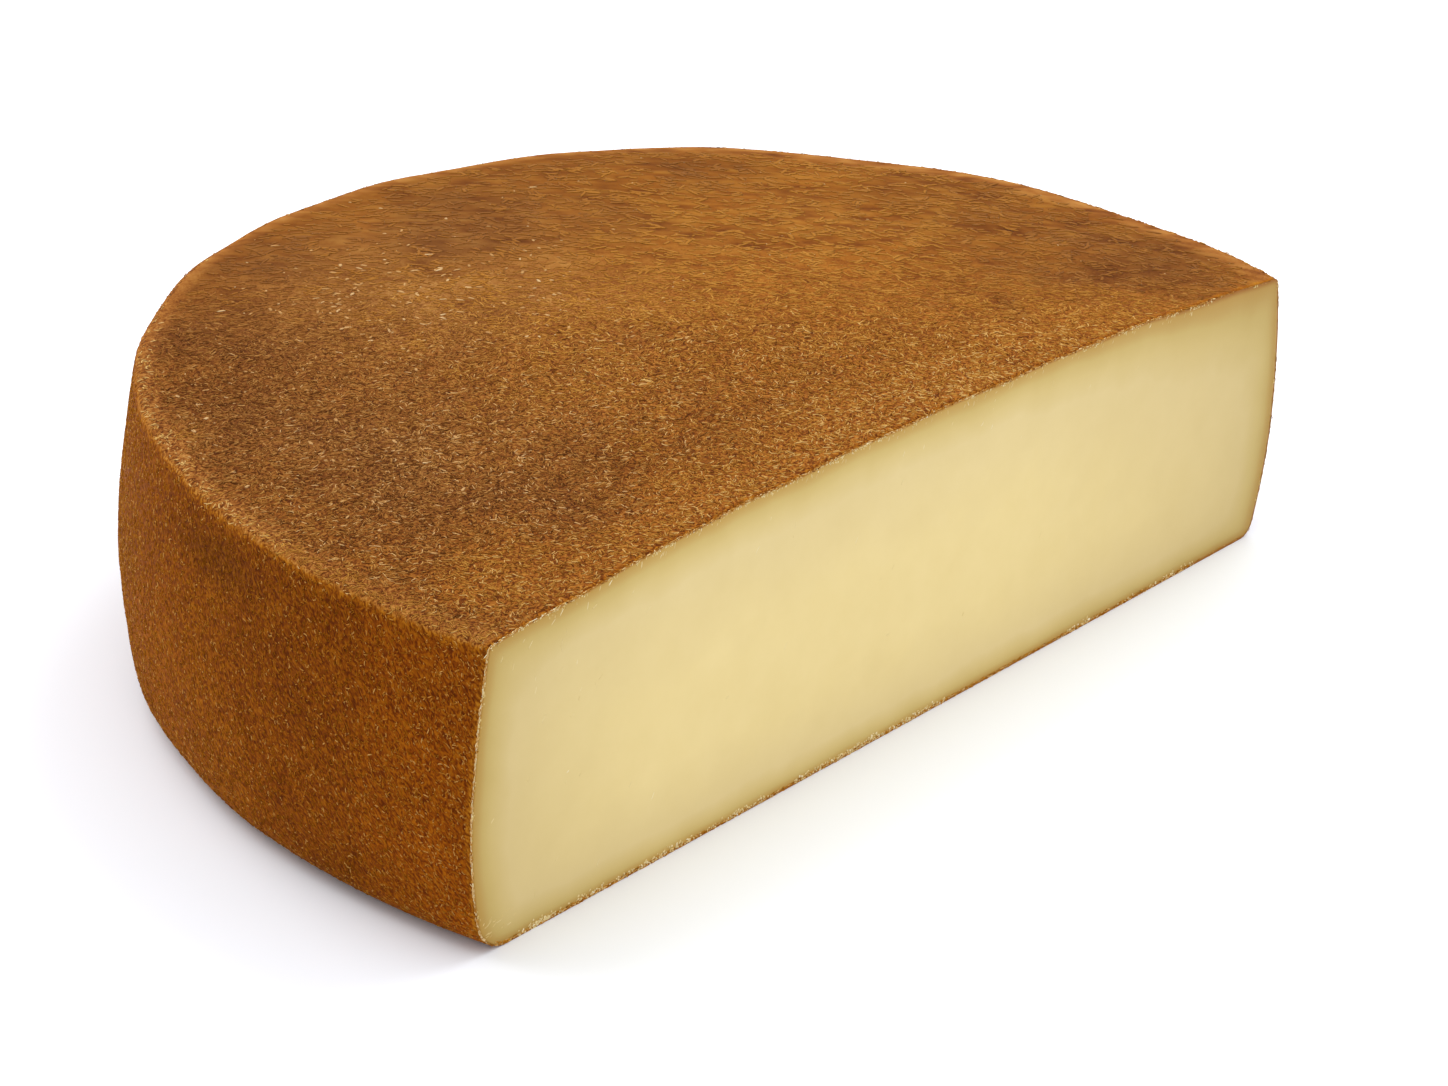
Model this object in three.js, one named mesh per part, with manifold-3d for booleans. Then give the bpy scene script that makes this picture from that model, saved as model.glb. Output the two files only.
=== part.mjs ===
// A brown washed-rind cheese wheel, cut straight across with the larger part kept.
// Millimetres, +Z up. The knife face looks along -Y. The origin is the middle of the
// footprint, on the flat underside.
import * as THREE from 'three';
import { mergeVertices } from 'three/addons/utils/BufferGeometryUtils.js';
import Module from 'manifold-3d';

// Driving dimensions of the whole wheel.
const WHEEL_RADIUS = 160; // at the widest line of the side
const RIM_HEIGHT = 75.3; // from the underside to the top rim
const CROWN_RISE = 6.9; // from the top rim to the middle of the domed top
const CROWN_POWER = 2.13; // 2 is a parabola, more is flatter in the middle
const WIDEST_HEIGHT = 35.5; // height of the widest line of the side
const TOP_INSET = 3.6; // how far the bulged side draws in up to the top rim
const BASE_INSET = 5.3; // how far it draws in down to the underside
const TOP_RIM_ROUND = 1.8; // the top rim is crisp
const BASE_RIM_ROUND = 7.8; // the lower rim is rounded by lying on boards

// The knife passes in front of the axis, so more than half of the wheel is left.
const CUT_FROM_AXIS = 31.9;

// A wheel turned by hand is a little out of round, and its top leans a little.
const OUT_OF_ROUND = [
  { lobes: 2, cosine: -0.03, sine: 0.012 },
  { lobes: 3, cosine: 0.007, sine: 0.007 },
];
const LEAN = { alongX: -0.015, alongY: 0.014, level: 80 };

// Low swells in the rind, as a sum of waves.
const SWELL_HEIGHT = 0.15; // of each wave
const SWELL_LENGTHS = [96, 73, 54, 38];
const GOLDEN_ANGLE = 2.399963;

// Facets.
const AROUND = 120;
const TOP_RINGS = 15;
const SIDE_STEPS = 9;
const RIM_STEPS = 4;
const BASE_RINGS = 2;

const QUARTER = Math.PI / 2;

// Distance from the axis to the bulged side at a height, before the rims are rounded.
function bulge(height) {
  const above = (height - WIDEST_HEIGHT) / (RIM_HEIGHT - WIDEST_HEIGHT);
  const below = (WIDEST_HEIGHT - height) / WIDEST_HEIGHT;
  const inset = above > 0 ? TOP_INSET * above ** 2 : BASE_INSET * below ** 2;
  return WHEEL_RADIUS - inset;
}

// Half of the wheel's section, from the axis along the underside, up the side and
// back to the axis over the domed top.
function section() {
  const points = [];
  const baseEdge = bulge(0) - BASE_RIM_ROUND;
  for (let i = 0; i < BASE_RINGS; i += 1) {
    points.push(new THREE.Vector2((baseEdge * i) / BASE_RINGS, 0));
  }
  for (let i = 0; i < RIM_STEPS; i += 1) {
    const turn = (QUARTER * i) / RIM_STEPS;
    const height = BASE_RIM_ROUND * (1 - Math.cos(turn));
    points.push(new THREE.Vector2(bulge(height) - BASE_RIM_ROUND * (1 - Math.sin(turn)), height));
  }
  const sideTop = RIM_HEIGHT - TOP_RIM_ROUND;
  for (let i = 0; i < SIDE_STEPS; i += 1) {
    const height = BASE_RIM_ROUND + ((sideTop - BASE_RIM_ROUND) * i) / SIDE_STEPS;
    points.push(new THREE.Vector2(bulge(height), height));
  }
  for (let i = 0; i < RIM_STEPS; i += 1) {
    const turn = (QUARTER * i) / RIM_STEPS;
    const height = sideTop + TOP_RIM_ROUND * Math.sin(turn);
    points.push(new THREE.Vector2(bulge(height) - TOP_RIM_ROUND * (1 - Math.cos(turn)), height));
  }
  const topEdge = bulge(RIM_HEIGHT) - TOP_RIM_ROUND;
  for (let i = 0; i <= TOP_RINGS; i += 1) {
    const outwards = 1 - i / TOP_RINGS;
    const height = RIM_HEIGHT + CROWN_RISE * (1 - outwards ** CROWN_POWER);
    points.push(new THREE.Vector2(topEdge * outwards, height));
  }
  return points;
}

// The wheel's outline relative to a true circle, at an angle about the axis.
function roundness(angle) {
  let factor = 1;
  for (const { lobes, cosine, sine } of OUT_OF_ROUND) {
    factor += cosine * Math.cos(lobes * angle) + sine * Math.sin(lobes * angle);
  }
  return factor;
}

// Height of the rind's low swells where the rind passes through a point.
function swell(x, y, z) {
  let height = 0;
  SWELL_LENGTHS.forEach((length, i) => {
    const heading = GOLDEN_ANGLE * (i + 1);
    const along = x * Math.cos(heading) + y * Math.sin(heading) + z * Math.sin(3 * heading);
    height += SWELL_HEIGHT * Math.sin((2 * Math.PI * along) / length + heading);
  });
  return height;
}

// Moves a point of the true round wheel to its place in the uneven one. The
// underside stays flat and the axis stays straight.
function settle(point) {
  const angle = Math.atan2(point.y, point.x);
  const radius = Math.hypot(point.x, point.y);
  const nearSide = THREE.MathUtils.smoothstep(radius, 0.9 * WHEEL_RADIUS, WHEEL_RADIUS);
  const offFloor = THREE.MathUtils.smoothstep(point.z, 0, RIM_HEIGHT);
  const lump = swell(point.x, point.y, point.z);
  const lean = LEAN.alongX * point.x + LEAN.alongY * (point.y - LEAN.level);
  const settled = radius * roundness(angle) + lump * nearSide;
  point.x = settled * Math.cos(angle);
  point.y = settled * Math.sin(angle);
  point.z += (point.z / RIM_HEIGHT) * lean + lump * offFloor;
}

function wholeWheel() {
  const geometry = new THREE.LatheGeometry(section(), AROUND);
  geometry.rotateX(QUARTER);
  geometry.deleteAttribute('normal');
  geometry.deleteAttribute('uv');
  const places = geometry.getAttribute('position');
  const point = new THREE.Vector3();
  for (let i = 0; i < places.count; i += 1) {
    point.fromBufferAttribute(places, i);
    settle(point);
    places.setXYZ(i, point.x, point.y, point.z);
  }
  return mergeVertices(geometry, 1e-3);
}

// Everything that the knife takes off: all that lies in front of the cut.
function offcut() {
  const size = 3 * WHEEL_RADIUS;
  const block = new THREE.BoxGeometry(size, size, size);
  block.translate(0, -CUT_FROM_AXIS - size / 2, 0);
  block.deleteAttribute('normal');
  block.deleteAttribute('uv');
  return mergeVertices(block);
}

const wasm = await Module();
wasm.setup();

function toSolid(geometry) {
  return new wasm.Manifold(new wasm.Mesh({
    numProp: 3,
    vertProperties: new Float32Array(geometry.getAttribute('position').array),
    triVerts: new Uint32Array(geometry.getIndex().array),
  }));
}

function toGeometry(solid) {
  const mesh = solid.getMesh();
  const geometry = new THREE.BufferGeometry();
  geometry.setAttribute('position', new THREE.BufferAttribute(mesh.vertProperties, 3));
  geometry.setIndex(new THREE.BufferAttribute(mesh.triVerts, 1));
  return geometry;
}

// The kept part of the wheel, moved so that its footprint is centred on the origin.
function cutWheel() {
  const geometry = toGeometry(toSolid(wholeWheel()).subtract(toSolid(offcut())));
  geometry.computeBoundingBox();
  const middle = geometry.boundingBox.getCenter(new THREE.Vector3());
  geometry.translate(-middle.x, -middle.y, 0);
  geometry.computeVertexNormals();
  const brownRind = new THREE.MeshStandardMaterial({
    color: '#8a5220',
    roughness: 0.75,
    metalness: 0,
  });
  const mesh = new THREE.Mesh(geometry, brownRind);
  mesh.name = 'cut_wheel';
  return mesh;
}

const cheese = new THREE.Group();
cheese.add(cutWheel());

export default cheese;
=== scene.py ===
"""A brown washed-rind cheese wheel, cut straight across, with more than half of it left.

Shapes are worked out in millimetres about the wheel's own axis and then put in the frame, which
is in metres, stands on z = 0 and has the cut face looking along -Y.
"""
import math
from collections import namedtuple

import bmesh
import bpy
import numpy as np
from mathutils import Matrix, Vector, noise


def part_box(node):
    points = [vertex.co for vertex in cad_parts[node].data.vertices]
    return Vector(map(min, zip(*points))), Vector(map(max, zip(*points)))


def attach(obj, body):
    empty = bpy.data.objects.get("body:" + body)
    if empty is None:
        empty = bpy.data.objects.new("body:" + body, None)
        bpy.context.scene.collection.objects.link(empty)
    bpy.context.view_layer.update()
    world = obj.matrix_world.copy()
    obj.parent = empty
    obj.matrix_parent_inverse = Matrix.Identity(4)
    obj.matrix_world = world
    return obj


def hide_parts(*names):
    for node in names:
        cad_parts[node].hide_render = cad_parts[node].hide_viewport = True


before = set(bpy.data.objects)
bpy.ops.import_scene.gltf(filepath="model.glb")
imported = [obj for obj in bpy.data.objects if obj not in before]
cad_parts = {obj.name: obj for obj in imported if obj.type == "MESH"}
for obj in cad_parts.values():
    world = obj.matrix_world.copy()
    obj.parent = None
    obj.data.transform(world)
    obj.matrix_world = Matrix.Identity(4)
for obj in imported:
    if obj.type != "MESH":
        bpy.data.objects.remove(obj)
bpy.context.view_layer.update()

MM = 0.001

# ---- the wheel, as in its solid (mm)

WHEEL_RADIUS = 160.0
RIM_HEIGHT = 75.3
CROWN_RISE = 6.9
CROWN_POWER = 2.13
WIDEST_HEIGHT = 35.5
TOP_INSET = 3.6
BASE_INSET = 5.3
TOP_RIM_ROUND = 1.8
BASE_RIM_ROUND = 7.8
TIGHTER_ROUND = 3.5  # of the base's rim where the wheel stood on it, at its right end
CUT_FROM_AXIS = 31.9
OUT_OF_ROUND = ((2, -0.03, 0.012), (3, 0.007, 0.007))  # lobes, cosine part, sine part
LEAN_X = -0.015
LEAN_Y = 0.014
LEAN_LEVEL = 80.0
SWELL_HEIGHT = 0.15
SWELL_LENGTHS = (96.0, 73.0, 54.0, 38.0)
GOLDEN_ANGLE = 2.399963

# Cells of the dressed surface: along the cut, from the cut to the back, and up the side.
CELLS_ACROSS = 224
CELLS_DEEP = 124
CELLS_HIGH = 58
BASE_RIM_CELLS = 7
TOP_RIM_CELLS = 4
ARC_CELLS = 2 * CELLS_DEEP + CELLS_ACROSS
AT_START, AT_END = 1e-4, 0.9999  # of the block's unit length, with room for rounding

# Patches that grew on the top while the wheel was turned and washed: middle x and y and reach in mm,
# then how far darker (-1) or more orange (1), and how much pale bloom.
TOP_PATCHES = (
    (-98, 35, 32, -0.2, 0.6),
    (-40, 100, 34, 0, 0.8),
    (-5, 70, 28, 0.5, 0.4),
    (48, 40, 46, 1.0, 0),
    (0, -8, 40, 0.6, 0),
    (-40, 35, 24, 0.7, 0.2),
    (-62, -5, 16, 0.4, 0),
    (110, 86, 18, 0.6, 0),
    (62, 100, 18, 0.3, 0),
    (118, -5, 26, -0.8, 0.1),
    (124, 40, 20, -0.3, 0),
    (88, 104, 14, -0.9, 0),
    (16, 120, 32, -0.9, 0.2),
    (-82, 118, 26, -0.8, 0.1),
    (-40, 138, 16, -0.9, 0),
    (-104, 78, 30, -0.7, 0.2),
    (-128, 84, 12, 0.8, 0.5),
    (-122, 24, 16, -0.6, 0),
    (-96, -6, 20, -0.4, 0),
    (-124, -20, 16, 1.0, 0),
)
PATCH_WANDER = 9.0  # how far in mm a patch's edge strays
PATCH_WANDER_LENGTH = 26.0

# Where the painted shadow under the rim lies on the side: round the wheel, then up it.
RIM_SHADOW_ANGLE, RIM_SHADOW_WIDTH = 161.0, 10.0  # degrees round the wheel's axis from the right
RIM_SHADOW_HEIGHT, RIM_SHADOW_DEPTH = 66.0, 9.0

# How far the rind rises and falls, about.
BROAD_RELIEF = 0.14
WRINKLE_RELIEF = 0.16
SIDE_WRINKLE_RELIEF = 0.07

STRAND_LEAN = math.radians(30)  # of the strands on the side, from upright
# The top's skin was brushed smoother and smoother towards its far right, in strokes that head one way.
BRUSHED_TO = (0.66, 0.75)
BRUSHED_FROM, BRUSHED_WHOLLY = 0.0, 105.0  # mm that way from the axis
STROKE_HEADING = math.radians(128)
ALONG_STROKES = Matrix.Rotation(-STROKE_HEADING, 3, "Z")
SWIRL_LENGTH = 6.0  # mm, of the swirls that its strands lie in elsewhere
FACE_OUT = np.array([0.0, -1.0, 0.0])  # the way the cut face looks

SEED = 24
draw = np.random.default_rng(SEED)
noise.seed_set(SEED)


def smoothstep(value, low, high):
    share = np.clip((value - low) / (high - low), 0.0, 1.0)
    return share * share * (3.0 - 2.0 * share)


def bulge(height):
    """Distance from the axis to the bulged side at a height, before the rims are rounded."""
    if height > WIDEST_HEIGHT:
        share = (height - WIDEST_HEIGHT) / (RIM_HEIGHT - WIDEST_HEIGHT)
        return WHEEL_RADIUS - TOP_INSET * share**2
    share = (WIDEST_HEIGHT - height) / WIDEST_HEIGHT
    return WHEEL_RADIUS - BASE_INSET * share**2


def side_section():
    """(radius, height) of each row of the side, from the underside's edge up to the top's edge."""
    rows = []
    for i in range(BASE_RIM_CELLS):
        turn = math.pi / 2 * i / BASE_RIM_CELLS
        height = BASE_RIM_ROUND * (1 - math.cos(turn))
        rows.append((bulge(height) - BASE_RIM_ROUND * (1 - math.sin(turn)), height))
    side_cells = CELLS_HIGH - BASE_RIM_CELLS - TOP_RIM_CELLS
    side_top = RIM_HEIGHT - TOP_RIM_ROUND
    for i in range(side_cells):
        height = BASE_RIM_ROUND + (side_top - BASE_RIM_ROUND) * i / side_cells
        rows.append((bulge(height), height))
    for i in range(TOP_RIM_CELLS + 1):
        turn = math.pi / 2 * i / TOP_RIM_CELLS
        height = side_top + TOP_RIM_ROUND * math.sin(turn)
        rows.append((bulge(height) - TOP_RIM_ROUND * (1 - math.cos(turn)), height))
    return np.array(rows)


def roundness(angle):
    """The outline relative to a true circle."""
    factor = np.ones_like(angle)
    for lobes, cosine, sine in OUT_OF_ROUND:
        factor += cosine * np.cos(lobes * angle) + sine * np.sin(lobes * angle)
    return factor


def swell(x, y, z):
    """Height of the rind's low swells."""
    height = np.zeros_like(x)
    for i, length in enumerate(SWELL_LENGTHS):
        heading = GOLDEN_ANGLE * (i + 1)
        along = x * math.cos(heading) + y * math.sin(heading) + z * math.sin(3 * heading)
        height += SWELL_HEIGHT * np.sin(2 * math.pi * along / length + heading)
    return height


def settled_radius(angle, radius, height):
    """How far out a point of the true round wheel lies in the uneven one."""
    lump = swell(radius * np.cos(angle), radius * np.sin(angle), height)
    near_side = smoothstep(radius, 0.9 * WHEEL_RADIUS, WHEEL_RADIUS)
    return radius * roundness(angle) + lump * near_side


def true_radius(x, y, height):
    """The other way: the radius in the true round wheel of a point of the uneven one."""
    angle = np.arctan2(y, x)
    distance = np.hypot(x, y)
    radius = distance / roundness(angle)
    for _ in range(3):
        radius += distance - settled_radius(angle, radius, height)
    return radius


def settled_height(angle, radius, height):
    """How high a point of the true round wheel lies in the uneven one."""
    x = radius * np.cos(angle)
    y = radius * np.sin(angle)
    lean = LEAN_X * x + LEAN_Y * (y - LEAN_LEVEL)
    lump = swell(x, y, height) * smoothstep(height, 0.0, RIM_HEIGHT)
    return height + height / RIM_HEIGHT * lean + lump


SIDE_ROWS = side_section()
TOP_EDGE = SIDE_ROWS[-1, 0]


def top_height(x, y):
    """Height of the domed top."""
    radius = true_radius(x, y, np.full_like(x, RIM_HEIGHT))
    outwards = np.clip(radius / TOP_EDGE, 0.0, 1.0)
    dome = RIM_HEIGHT + CROWN_RISE * (1 - outwards**CROWN_POWER)
    return settled_height(np.arctan2(y, x), radius, dome)


def cut_top(x):
    """Height of the cut's top edge."""
    return top_height(x, np.full_like(x, -CUT_FROM_AXIS))


def arc_ends(radius, height):
    """The angles at which a row of the side meets the cut, on the right and on the left."""
    right = np.zeros_like(radius)
    left = np.full_like(radius, math.pi)
    for _ in range(12):
        right = -np.arcsin(CUT_FROM_AXIS / settled_radius(right, radius, height))
        left = math.pi + np.arcsin(CUT_FROM_AXIS / settled_radius(left, radius, height))
    return right, left


def on_arc(share, radius, height):
    """A point of a row of the side. share runs from 0 at the right end of the cut to 1 at the left."""
    right, left = arc_ends(radius, height)
    angle = right + share * (left - right)
    out = settled_radius(angle, radius, height)
    return np.stack([out * np.cos(angle), out * np.sin(angle)], axis=-1), angle


def plan_of(across, deep, radius, height):
    """Spreads cells over the wheel's plan at one height, from its four edges inwards."""
    level = np.full_like(across, height)
    reach = np.full_like(across, radius)
    deep_share = CELLS_DEEP / ARC_CELLS
    across_share = CELLS_ACROSS / ARC_CELLS

    def edge(share):
        return on_arc(share, reach, level)[0]

    a = across[:, None]
    d = deep[:, None]
    front_right = edge(np.zeros_like(across))
    front_left = edge(np.ones_like(across))
    front = front_left + a * (front_right - front_left)
    right = edge(deep * deep_share)
    left = edge(1 - deep * deep_share)
    back = edge(deep_share + (1 - across) * across_share)
    back_right = edge(np.full_like(across, deep_share))
    back_left = edge(np.full_like(across, 1 - deep_share))
    corners = (1 - d) * front + d * (back_left + a * (back_right - back_left))
    return (1 - d) * front + d * back + (1 - a) * left + a * right - corners


# ---- meshes


def block_of_cells(across, deep, high):
    """A unit block with each face cut into cells."""
    bm = bmesh.new()
    bmesh.ops.create_cube(bm, size=1.0, matrix=Matrix.Translation((0.5, 0.5, 0.5)))
    for axis, cells in enumerate((across, deep, high)):
        along = [e for e in bm.edges if abs(e.verts[0].co[axis] - e.verts[1].co[axis]) > 0.5]
        bmesh.ops.subdivide_edges(bm, edges=along, cuts=cells - 1, use_grid_fill=True)
    return bm


def to_frame(points):
    """From millimetres about the wheel's axis to metres in the frame."""
    low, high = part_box("cut_wheel")
    moved = np.array(points)
    middle = np.array([(low[i] + high[i]) / 2 for i in range(2)])
    moved[:, :2] -= AXIS_TO_MIDDLE
    moved *= MM
    moved[:, :2] += middle
    return moved


def axis_to_middle():
    """Where the middle of the kept part's footprint is, measured from the wheel's axis."""
    share = np.linspace(0.0, 1.0, 2001)
    corners = []
    for radius, height in SIDE_ROWS:
        place, _ = on_arc(share, np.full_like(share, radius), np.full_like(share, height))
        corners.append(place.min(axis=0))
        corners.append(place.max(axis=0))
    corners = np.array(corners)
    return (corners.min(axis=0) + corners.max(axis=0)) / 2


AXIS_TO_MIDDLE = axis_to_middle()


def formed(cells):
    """Moves the block's points (0 to 1 each way) to the form of the cut wheel, in mm."""
    across, deep, high = cells.T
    row = np.rint(high * CELLS_HIGH).astype(int)
    radius = SIDE_ROWS[row, 0]
    height = SIDE_ROWS[row, 1]
    places = np.zeros_like(cells)

    for level, level_row in ((0, 0), (1, CELLS_HIGH)):
        flat = row == level_row
        flat_radius, flat_height = SIDE_ROWS[level_row]
        plan = plan_of(across[flat], deep[flat], flat_radius, flat_height)
        places[flat, :2] = plan
        places[flat, 2] = top_height(plan[:, 0], plan[:, 1]) if level else 0.0

    between = (row > 0) & (row < CELLS_HIGH)
    walked = np.where(across > 0.999, deep * CELLS_DEEP, 0.0)
    walked = np.where(deep > 0.999, CELLS_DEEP + (1 - across) * CELLS_ACROSS, walked)
    walked = np.where(across < 0.001, ARC_CELLS - deep * CELLS_DEEP, walked)
    side = between & ((across < 0.001) | (across > 0.999) | (deep > 0.999))
    place, angle = on_arc(walked[side] / ARC_CELLS, radius[side], height[side])
    places[side, :2] = place
    places[side, 2] = settled_height(angle, radius[side], height[side])

    cut = between & ~side
    ends = np.zeros(cut.sum())
    right, _ = on_arc(ends, radius[cut], height[cut])
    left, _ = on_arc(ends + 1, radius[cut], height[cut])
    x = left[:, 0] + across[cut] * (right[:, 0] - left[:, 0])
    places[cut, 0] = x
    places[cut, 1] = -CUT_FROM_AXIS
    places[cut, 2] = cut_top(x) * height[cut] / RIM_HEIGHT
    return places


def rounding(height, radius):
    """How far a rounded edge draws in at a height over the floor."""
    low = np.clip((radius - height) / radius, 0.0, 1.0)
    return radius * (1 - np.sqrt(1 - low**2))


def squared_up(x, height):
    """How much further out the base's rim stands at the wheel's right end."""
    further = rounding(height, BASE_RIM_ROUND) - rounding(height, TIGHTER_ROUND)
    return further * smoothstep(x, 60, 130)


def square_up(places, rows):
    """Tightens the base's rim at the wheel's right end, and spreads the underside with it."""
    x, y, _ = places.T
    reach = np.hypot(x, np.maximum(y, 0))
    outer = np.where(rows == 0, smoothstep(np.hypot(x, y), WHEEL_RADIUS - 60, WHEEL_RADIUS - 14), 1.0)
    push = squared_up(x, SIDE_ROWS[rows, 1]) * outer / np.maximum(reach, 1.0)
    places[:, 0] += push * x
    places[:, 1] += push * np.maximum(y, 0)


def rind_grain(point):
    """How the rind's matted, pimpled skin rises and falls: broadly, in wrinkles, and in streaks
    where it was brushed."""
    broad = noise.fractal(point / 9.0, 0.9, 2.1, 3)
    wrinkles = noise.fractal(point / 3.0 + Vector((31.0, 7.0, 3.0)), 0.7, 2.0, 2)
    drawn = ALONG_STROKES @ point
    drawn.x *= 0.35
    streaks = noise.fractal(drawn / 3.4, 0.8, 2.0, 2)
    return broad, wrinkles, streaks


def patches_at(places):
    """How dark (-1) or orange (1) the top is at each place, and how pale with bloom."""
    strays = [noise.noise_vector(Vector(place) / PATCH_WANDER_LENGTH)[:2] for place in places]
    strayed = places[:, :2] + PATCH_WANDER * np.array(strays)
    shade = np.zeros(len(places))
    bloom = np.zeros(len(places))
    for x, y, reach, shade_there, bloom_there in TOP_PATCHES:
        share = np.exp(-((strayed - (x, y)) ** 2).sum(axis=1) / reach**2)
        shade += shade_there * share
        bloom += bloom_there * share
    return shade, bloom


def skin_colouring(places, on_top):
    """How dark (-1) or orange (1) the skin is at each place, and how pale with bloom."""
    x, y, z = places.T
    shade, bloom = patches_at(places)
    # The top is paler and more orange along the cut, but for its two ends.
    shade += 1.1 * smoothstep(y + CUT_FROM_AXIS, 30, 4) * smoothstep(np.abs(x), 125, 95)
    # Painted shadow darkens the side under the rim, towards the left end.
    round_from_right = np.degrees(np.arctan2(y, x))
    rim_shadow = np.hypot((round_from_right - RIM_SHADOW_ANGLE) / RIM_SHADOW_WIDTH, (z - RIM_SHADOW_HEIGHT) / RIM_SHADOW_DEPTH)
    # By the cut the side is paler; from just past the painted shadow round to the back and the right end
    # it is a little paler too, painted sheen.
    side_shade = smoothstep(y + CUT_FROM_AXIS, 44, 2) - smoothstep(rim_shadow, 1.0, 0.2)
    side_shade += 0.4 * smoothstep(round_from_right, 162, 150)
    return np.where(on_top, shade, side_shade), bloom


def depth_of_paste(places, rows):
    """How far places on the cut are from the rind, counted as the paste dries."""
    x, _, z = places.T
    radius, height = SIDE_ROWS[rows].T
    right, _ = on_arc(np.zeros_like(x), radius, height)
    left, _ = on_arc(np.ones_like(x), radius, height)
    right_end = right[:, 0] + squared_up(right[:, 0], height)
    # It dried deeper under the top towards the right end, and only close to the base.
    under_top = (cut_top(x) - z) * (1 - 0.5 * smoothstep(x, 30, 140))
    over_base = 1.6 * z - 0.8 * smoothstep(z, 3.0, 0.0)
    gaps = np.stack([under_top, over_base, x - left[:, 0], right_end - x])
    return (np.maximum(gaps, 1e-3) ** -3.0).sum(axis=0) ** (-1 / 3.0)


def cheese_mesh():
    """The cut wheel in one closed mesh, rind in slot 0 and the cut face in slot 1. Also its rind's
    surface and the edges of its cut, for what lies on them."""
    bm = block_of_cells(CELLS_ACROSS, CELLS_DEEP, CELLS_HIGH)
    for face in bm.faces:
        face.material_index = 1 if face.calc_center_median().y < AT_START else 0
        face.smooth = True
    mesh = bpy.data.meshes.new("cut_cheese")
    bm.to_mesh(mesh)
    bm.free()

    cells = read(mesh.vertices, "co", 3).astype(float)
    places = formed(cells)
    rows = np.rint(cells[:, 2] * CELLS_HIGH).astype(int)
    square_up(places, rows)
    mesh.vertices.foreach_set("co", places.astype(np.float32).ravel())
    mesh.update()
    normals = read(mesh.vertex_normals, "vector", 3)

    on_cut = cells[:, 1] < AT_START
    on_top = cells[:, 2] > AT_END
    at_ends = (cells[:, 0] < AT_START) | (cells[:, 0] > AT_END)
    outline = on_cut & (at_ends | (cells[:, 2] < AT_START) | on_top)
    inner_cut = on_cut & ~outline

    x, y, z = places.T
    broad, wrinkles, streaks = np.array([rind_grain(Vector(p)) for p in places]).T
    smoothed = smoothstep(x * BRUSHED_TO[0] + y * BRUSHED_TO[1], BRUSHED_FROM, BRUSHED_WHOLLY)
    brushed = smoothed * on_top
    wrinkles += brushed * ((1.2 - 0.6 * smoothstep(y, 40, 110)) * streaks - wrinkles)
    relief = BROAD_RELIEF * broad
    relief += np.where(on_top, WRINKLE_RELIEF, SIDE_WRINKLE_RELIEF) * wrinkles
    relief *= smoothstep(z, 0.5, 4.0) * (1 - 0.5 * smoothed)
    relief[inner_cut] = 0.0
    shaped = places + normals * relief[:, None]
    shaped[on_cut, 1] = -CUT_FROM_AXIS

    inside_rim = np.maximum(TOP_EDGE - true_radius(x, y, z), 0.0)
    from_rim = np.where(on_top, inside_rim, SIDE_ROWS[rows, 1] - RIM_HEIGHT)
    shade, bloom = skin_colouring(places, on_top)
    measures = {
        "from_rim": from_rim,
        "shade": shade,
        "bloom": bloom,
        "wrinkles": wrinkles,
        "brushed": brushed,
    }
    for name, values in measures.items():
        set_attribute(mesh, name, values * MM if name == "from_rim" else values)
    set_attribute(mesh, "under_rind", np.where(inner_cut, depth_of_paste(places, rows), 0.0) * MM)
    rind = surface_of(mesh, shaped, {**measures, "broad": broad})
    edges = read(mesh.edges, "vertices", 2, np.int32)
    cut_edges = shaped[edges[outline[edges].all(axis=1)]]

    mesh.vertices.foreach_set("co", to_frame(shaped).astype(np.float32).ravel())
    mesh.update()
    return mesh, rind, cut_edges


def read(items, name, width, kind=np.float32):
    """A property of all of a mesh's items, which has width numbers for each."""
    values = np.empty(len(items) * width, kind)
    items.foreach_get(name, values)
    return values.reshape(-1, width)


def set_attribute(mesh, name, values):
    layer = mesh.attributes.new(name, "FLOAT", "POINT")
    layer.data.foreach_set("value", values.astype(np.float32))


# ---- small things, in mm

# Triangles of the rind: their corners, the way out, their areas, and what is measured there.
Surface = namedtuple("Surface", "corners outward area measures")


def surface_of(mesh, shaped, measures):
    mesh.calc_loop_triangles()
    slots = read(mesh.loop_triangles, "material_index", 1, np.int32)[:, 0]
    points = read(mesh.loop_triangles, "vertices", 3, np.int32)[slots == 0]
    corners = shaped[points]
    cross = np.cross(corners[:, 1] - corners[:, 0], corners[:, 2] - corners[:, 0])
    size = np.linalg.norm(cross, axis=1)
    here = {name: values[points].mean(axis=1) for name, values in measures.items()}
    here["from_cut"] = corners[:, :, 1].mean(axis=1) + CUT_FROM_AXIS
    return Surface(corners, cross / size[:, None], size / 2, here)


def scattered(surface, liking, count):
    """Random places on a surface, crowded where liking is high: points, ways out, and triangles."""
    chance = surface.area * liking
    chosen = draw.choice(len(chance), count, p=chance / chance.sum())
    shares = draw.random((count, 2))
    folded = shares.sum(axis=1) > 1
    shares[folded] = 1 - shares[folded]
    weights = np.column_stack([1 - shares.sum(axis=1), shares])
    points = np.einsum("ij,ijk->ik", weights, surface.corners[chosen])
    return points, surface.outward[chosen], chosen


def template(make, **sizes):
    """Points and triangles of a small shape, about 1 mm across."""
    bm = bmesh.new()
    make(bm, **sizes)
    bmesh.ops.triangulate(bm, faces=bm.faces)
    bm.verts.index_update()
    points = np.array([v.co for v in bm.verts])
    faces = np.array([[v.index for v in face.verts] for face in bm.faces])
    bm.free()
    return points, faces


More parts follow.
